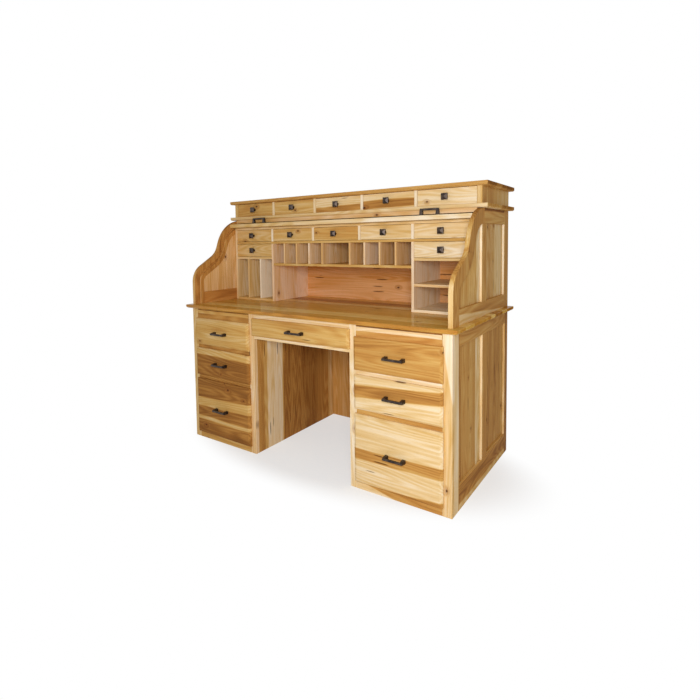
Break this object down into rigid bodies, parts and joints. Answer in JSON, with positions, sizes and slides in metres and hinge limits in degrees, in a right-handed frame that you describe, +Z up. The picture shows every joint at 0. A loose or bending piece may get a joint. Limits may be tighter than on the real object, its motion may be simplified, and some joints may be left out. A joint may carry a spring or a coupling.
{
  "type": "roll-top pedestal desk",
  "caption": "Wooden roll-top desk: drawer pedestals, pencil drawer, pull-out writing boards, pigeonholes, slatted roll with S-shaped sides and a drawer hutch on top.",
  "frame": {"origin": "on the floor under the middle of the bounding box", "axes": "+X to the sitter's right along the longest side, +Y from the front to the back, +Z up"},
  "size_m": [1.582, 0.8306, 1.359],
  "materials": {
    "hickory": "clear satin lacquer",
    "dark_bronze": "dark oil-rubbed bronze"
  },
  "bodies": {
    "carcass": {"left_outer_side": "hickory", "left_face_frame": "hickory", "left_roll_side": "hickory", "right_outer_side": "hickory", "right_face_frame": "hickory", "right_roll_side": "hickory", "inner_sides": "hickory", "drawer_runners": "hickory", "centre_rails": "hickory", "back_panels": "hickory", "desk_top": "hickory", "upper_back": "hickory", "pigeonhole_case": "hickory", "pigeonhole_dividers": "hickory", "tambour_slats": "hickory", "hutch_moulding": "hickory", "hutch_top": "hickory", "hutch_case": "hickory"},
    "left_upper_drawer_body": {"left_upper_drawer": "hickory", "left_upper_drawer_pull": "dark_bronze"},
    "left_middle_drawer_body": {"left_middle_drawer": "hickory", "left_middle_drawer_pull": "dark_bronze"},
    "left_file_drawer_body": {"left_file_drawer": "hickory", "left_file_drawer_pull": "dark_bronze"},
    "right_upper_drawer_body": {"right_upper_drawer": "hickory", "right_upper_drawer_pull": "dark_bronze"},
    "right_middle_drawer_body": {"right_middle_drawer": "hickory", "right_middle_drawer_pull": "dark_bronze"},
    "right_file_drawer_body": {"right_file_drawer": "hickory", "right_file_drawer_pull": "dark_bronze"},
    "centre_drawer_body": {"centre_drawer": "hickory", "centre_drawer_pull": "dark_bronze"},
    "inner_drawer_1_body": {"inner_drawer_1": "hickory", "inner_drawer_1_knob": "dark_bronze"},
    "inner_drawer_2_body": {"inner_drawer_2": "hickory", "inner_drawer_2_knob": "dark_bronze"},
    "inner_drawer_3_body": {"inner_drawer_3": "hickory", "inner_drawer_3_knob": "dark_bronze"},
    "inner_drawer_4_body": {"inner_drawer_4": "hickory", "inner_drawer_4_knob": "dark_bronze"},
    "inner_drawer_5_body": {"inner_drawer_5": "hickory", "inner_drawer_5_knob": "dark_bronze"},
    "left_stack_drawer_body": {"left_stack_drawer": "hickory", "left_stack_drawer_knob": "dark_bronze"},
    "right_stack_drawer_body": {"right_stack_drawer": "hickory", "right_stack_drawer_knob": "dark_bronze"},
    "hutch_drawer_1_body": {"hutch_drawer_1": "hickory", "hutch_drawer_1_knob": "dark_bronze"},
    "hutch_drawer_2_body": {"hutch_drawer_2": "hickory", "hutch_drawer_2_knob": "dark_bronze"},
    "hutch_drawer_3_body": {"hutch_drawer_3": "hickory", "hutch_drawer_3_knob": "dark_bronze"},
    "hutch_drawer_4_body": {"hutch_drawer_4": "hickory", "hutch_drawer_4_knob": "dark_bronze"},
    "hutch_drawer_5_body": {"hutch_drawer_5": "hickory", "hutch_drawer_5_knob": "dark_bronze"},
    "left_writing_board_body": {"left_writing_board": "hickory"},
    "right_writing_board_body": {"right_writing_board": "hickory"},
    "roll_lead": {"tambour_lead_rail": "hickory", "tambour_pulls": "dark_bronze"}
  },
  "joints": [
    {"name": "left_upper_drawer_slide", "type": "slide", "parent": "carcass", "child": "left_upper_drawer_body", "axis": [0, -1, 0], "range_m": [0, 0.4]},
    {"name": "left_middle_drawer_slide", "type": "slide", "parent": "carcass", "child": "left_middle_drawer_body", "axis": [0, -1, 0], "range_m": [0, 0.4]},
    {"name": "left_file_drawer_slide", "type": "slide", "parent": "carcass", "child": "left_file_drawer_body", "axis": [0, -1, 0], "range_m": [0, 0.42]},
    {"name": "right_upper_drawer_slide", "type": "slide", "parent": "carcass", "child": "right_upper_drawer_body", "axis": [0, -1, 0], "range_m": [0, 0.4]},
    {"name": "right_middle_drawer_slide", "type": "slide", "parent": "carcass", "child": "right_middle_drawer_body", "axis": [0, -1, 0], "range_m": [0, 0.4]},
    {"name": "right_file_drawer_slide", "type": "slide", "parent": "carcass", "child": "right_file_drawer_body", "axis": [0, -1, 0], "range_m": [0, 0.42]},
    {"name": "centre_drawer_slide", "type": "slide", "parent": "carcass", "child": "centre_drawer_body", "axis": [0, -1, 0], "range_m": [0, 0.3]},
    {"name": "inner_drawer_1_slide", "type": "slide", "parent": "carcass", "child": "inner_drawer_1_body", "axis": [0, -1, 0], "range_m": [0, 0.19]},
    {"name": "inner_drawer_2_slide", "type": "slide", "parent": "carcass", "child": "inner_drawer_2_body", "axis": [0, -1, 0], "range_m": [0, 0.19]},
    {"name": "inner_drawer_3_slide", "type": "slide", "parent": "carcass", "child": "inner_drawer_3_body", "axis": [0, -1, 0], "range_m": [0, 0.19]},
    {"name": "inner_drawer_4_slide", "type": "slide", "parent": "carcass", "child": "inner_drawer_4_body", "axis": [0, -1, 0], "range_m": [0, 0.19]},
    {"name": "inner_drawer_5_slide", "type": "slide", "parent": "carcass", "child": "inner_drawer_5_body", "axis": [0, -1, 0], "range_m": [0, 0.19]},
    {"name": "left_stack_drawer_slide", "type": "slide", "parent": "carcass", "child": "left_stack_drawer_body", "axis": [0, -1, 0], "range_m": [0, 0.19]},
    {"name": "right_stack_drawer_slide", "type": "slide", "parent": "carcass", "child": "right_stack_drawer_body", "axis": [0, -1, 0], "range_m": [0, 0.19]},
    {"name": "hutch_drawer_1_slide", "type": "slide", "parent": "carcass", "child": "hutch_drawer_1_body", "axis": [0, -1, 0], "range_m": [0, 0.26]},
    {"name": "hutch_drawer_2_slide", "type": "slide", "parent": "carcass", "child": "hutch_drawer_2_body", "axis": [0, -1, 0], "range_m": [0, 0.26]},
    {"name": "hutch_drawer_3_slide", "type": "slide", "parent": "carcass", "child": "hutch_drawer_3_body", "axis": [0, -1, 0], "range_m": [0, 0.26]},
    {"name": "hutch_drawer_4_slide", "type": "slide", "parent": "carcass", "child": "hutch_drawer_4_body", "axis": [0, -1, 0], "range_m": [0, 0.26]},
    {"name": "hutch_drawer_5_slide", "type": "slide", "parent": "carcass", "child": "hutch_drawer_5_body", "axis": [0, -1, 0], "range_m": [0, 0.26]},
    {"name": "left_writing_board_slide", "type": "slide", "parent": "carcass", "child": "left_writing_board_body", "axis": [0, -1, 0], "range_m": [0, 0.36]},
    {"name": "right_writing_board_slide", "type": "slide", "parent": "carcass", "child": "right_writing_board_body", "axis": [0, -1, 0], "range_m": [0, 0.36]},
    {"name": "roll_bend", "type": "hinge", "parent": "carcass", "child": "roll_lead", "pos_m": [0, 0.02393, 1.043], "axis": [-1, 0, 0], "range_deg": [-55, 0], "deforming": ["tambour_slats"]}
  ]
}
